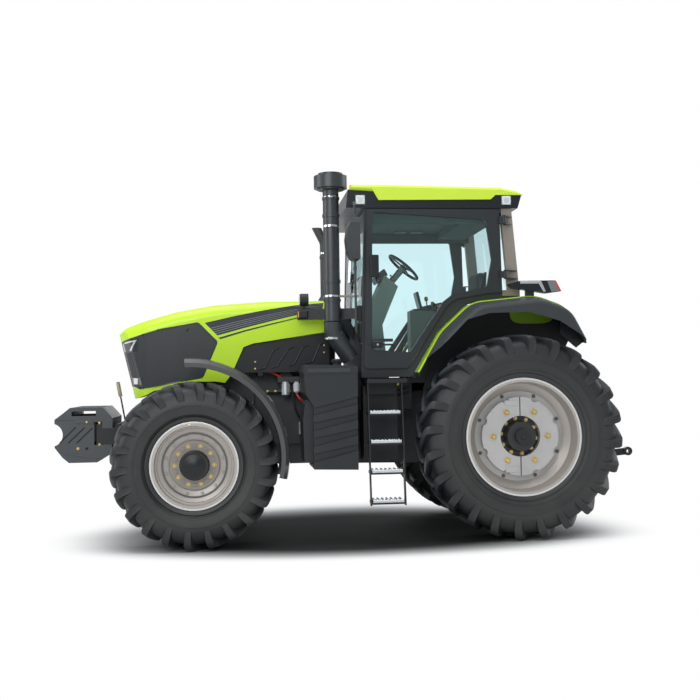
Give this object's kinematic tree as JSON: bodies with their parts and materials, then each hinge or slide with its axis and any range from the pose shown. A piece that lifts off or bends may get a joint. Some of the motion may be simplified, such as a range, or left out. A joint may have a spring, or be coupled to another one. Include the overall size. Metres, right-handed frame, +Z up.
{
  "type": "farm tractor",
  "caption": "Four-wheel-drive farm tractor with a glazed cab, lug tyres, tilting hood, steered front wheels, opening doors, nose weights and a rear hitch.",
  "frame": {"origin": "on the ground, midway along the tractor between the front weights and the hitch balls, and midway between its wheels", "axes": "+X forwards, +Y to the driver's left, +Z up"},
  "size_m": [5.7939, 2.47, 3.5467],
  "materials": {
    "green_paint": "gloss",
    "roof_plastic": "gloss",
    "black_plastic": "matte",
    "grey_plastic": "matte",
    "chassis_black": "satin",
    "weight_black": "satin",
    "weight_grey": "satin",
    "rim_silver": "satin",
    "tyre_rubber": "matte",
    "exhaust_metal": "satin",
    "engine_grey": "satin",
    "window_glass": "clear",
    "lamp_glass": "clear",
    "amber_lens": "gloss",
    "seat_fabric": "matte",
    "steel": "satin"
  },
  "bodies": {
    "chassis": {"air_intake": "black_plastic", "beacon": "amber_lens", "cab_floor": "black_plastic", "cab_frame": "chassis_black", "cab_glass": "window_glass", "console": "grey_plastic", "cooling_pack": "chassis_black", "door_hinges": "chassis_black", "engine": "engine_grey", "exhaust": "exhaust_metal", "fender_flares": "black_plastic", "fender_tops": "green_paint", "front_axle": "chassis_black", "front_frame": "chassis_black", "front_weights": "weight_black", "fuel_tanks": "black_plastic", "gearbox": "engine_grey", "lamp_arms": "chassis_black", "mirrors": "black_plastic", "rear_axle": "chassis_black", "rear_hitch": "chassis_black", "rear_lamps": "black_plastic", "roof": "roof_plastic", "roof_rim": "black_plastic", "seat": "seat_fabric", "side_panels": "black_plastic", "steps": "chassis_black", "work_lamps": "lamp_glass"},
    "hood": {"hood_shell": "green_paint", "hood_grilles": "black_plastic", "headlamps": "lamp_glass"},
    "knuckle_left": {"knuckle_left": "chassis_black", "front_fender_left": "black_plastic"},
    "knuckle_right": {"knuckle_right": "chassis_black", "front_fender_right": "black_plastic"},
    "front_wheel_left": {"front_tyre_left": "tyre_rubber", "front_rim_left": "rim_silver"},
    "front_wheel_right": {"front_tyre_right": "tyre_rubber", "front_rim_right": "rim_silver"},
    "rear_wheel_left": {"rear_tyre_left": "tyre_rubber", "rear_rim_left": "rim_silver", "wheel_weight_left": "weight_grey"},
    "rear_wheel_right": {"rear_tyre_right": "tyre_rubber", "rear_rim_right": "rim_silver", "wheel_weight_right": "weight_grey"},
    "door_left": {"door_left": "chassis_black", "door_glass_left": "window_glass"},
    "door_right": {"door_right": "chassis_black", "door_glass_right": "window_glass"},
    "steering_wheel": {"steering_wheel": "black_plastic"},
    "steering_rod": {"steering_rod": "steel"},
    "lift_arms": {"lift_arms": "chassis_black"},
    "lift_rods": {"lift_rods": "steel"},
    "lower_links": {"lower_links": "chassis_black"}
  },
  "joints": [
    {"name": "steer_left", "type": "hinge", "parent": "chassis", "child": "knuckle_left", "pos_m": [1.537, 0.7, 0.775], "axis": [0, 0, 1], "range_deg": [-35, 35]},
    {"name": "steer_right", "type": "hinge", "parent": "chassis", "child": "knuckle_right", "pos_m": [1.537, -0.7, 0.775], "axis": [0, 0, 1], "range_deg": [-36, 36]},
    {"name": "steering_rod_slide", "type": "slide", "parent": "chassis", "child": "steering_rod", "axis": [0, 1, 0], "range_m": [-0.135, 0.135]},
    {"name": "steering_wheel_turn", "type": "hinge", "parent": "chassis", "child": "steering_wheel", "pos_m": [-0.624, 0, 2.712], "axis": [-0.658, 0, 0.753], "range_deg": [-430, 430]},
    {"name": "front_wheel_left_spin", "type": "hinge", "parent": "knuckle_left", "child": "front_wheel_left", "pos_m": [1.537, 0.95, 0.775], "axis": [0, 1, 0], "continuous": true},
    {"name": "front_wheel_right_spin", "type": "hinge", "parent": "knuckle_right", "child": "front_wheel_right", "pos_m": [1.537, -0.95, 0.775], "axis": [0, 1, 0], "continuous": true},
    {"name": "rear_wheel_left_spin", "type": "hinge", "parent": "chassis", "child": "rear_wheel_left", "pos_m": [-1.549, 0.94, 0.975], "axis": [0, 1, 0], "continuous": true},
    {"name": "rear_wheel_right_spin", "type": "hinge", "parent": "chassis", "child": "rear_wheel_right", "pos_m": [-1.549, -0.94, 0.975], "axis": [0, 1, 0], "continuous": true},
    {"name": "hood_hinge", "type": "hinge", "parent": "chassis", "child": "hood", "pos_m": [0.101, 0, 2.282], "axis": [0, -1, 0], "range_deg": [0, 50]},
    {"name": "door_left_hinge", "type": "hinge", "parent": "chassis", "child": "door_left", "pos_m": [-1.479, 0.885, 2.4], "axis": [0, 0, 1], "range_deg": [0, 75]},
    {"name": "door_right_hinge", "type": "hinge", "parent": "chassis", "child": "door_right", "pos_m": [-1.479, -0.885, 2.4], "axis": [0, 0, -1], "range_deg": [0, 75]},
    {"name": "lower_links_pivot", "type": "hinge", "parent": "chassis", "child": "lower_links", "pos_m": [-1.709, 0, 0.64], "axis": [0, 1, 0], "range_deg": [-23, 18]},
    {"name": "lift_arms_pivot", "type": "hinge", "parent": "chassis", "child": "lift_arms", "pos_m": [-1.779, 0, 1.37], "axis": [0, 1, 0], "range_deg": [-40, 35]},
    {"name": "lift_rods_pivot", "type": "hinge", "parent": "lift_arms", "child": "lift_rods", "pos_m": [-2.149, 0, 1.45], "axis": [0, 1, 0], "range_deg": [-34, 40]}
  ],
  "couplings": [
    {"joint": "steer_right", "follows": "steer_left", "ratio": 1},
    {"joint": "steering_rod_slide", "follows": "steer_left", "m_per_rad": -0.205},
    {"joint": "steering_wheel_turn", "follows": "steer_left", "ratio": 12},
    {"joint": "lift_arms_pivot", "follows": "lower_links_pivot", "ratio": 1.69},
    {"joint": "lift_rods_pivot", "follows": "lower_links_pivot", "ratio": -1.62}
  ]
}
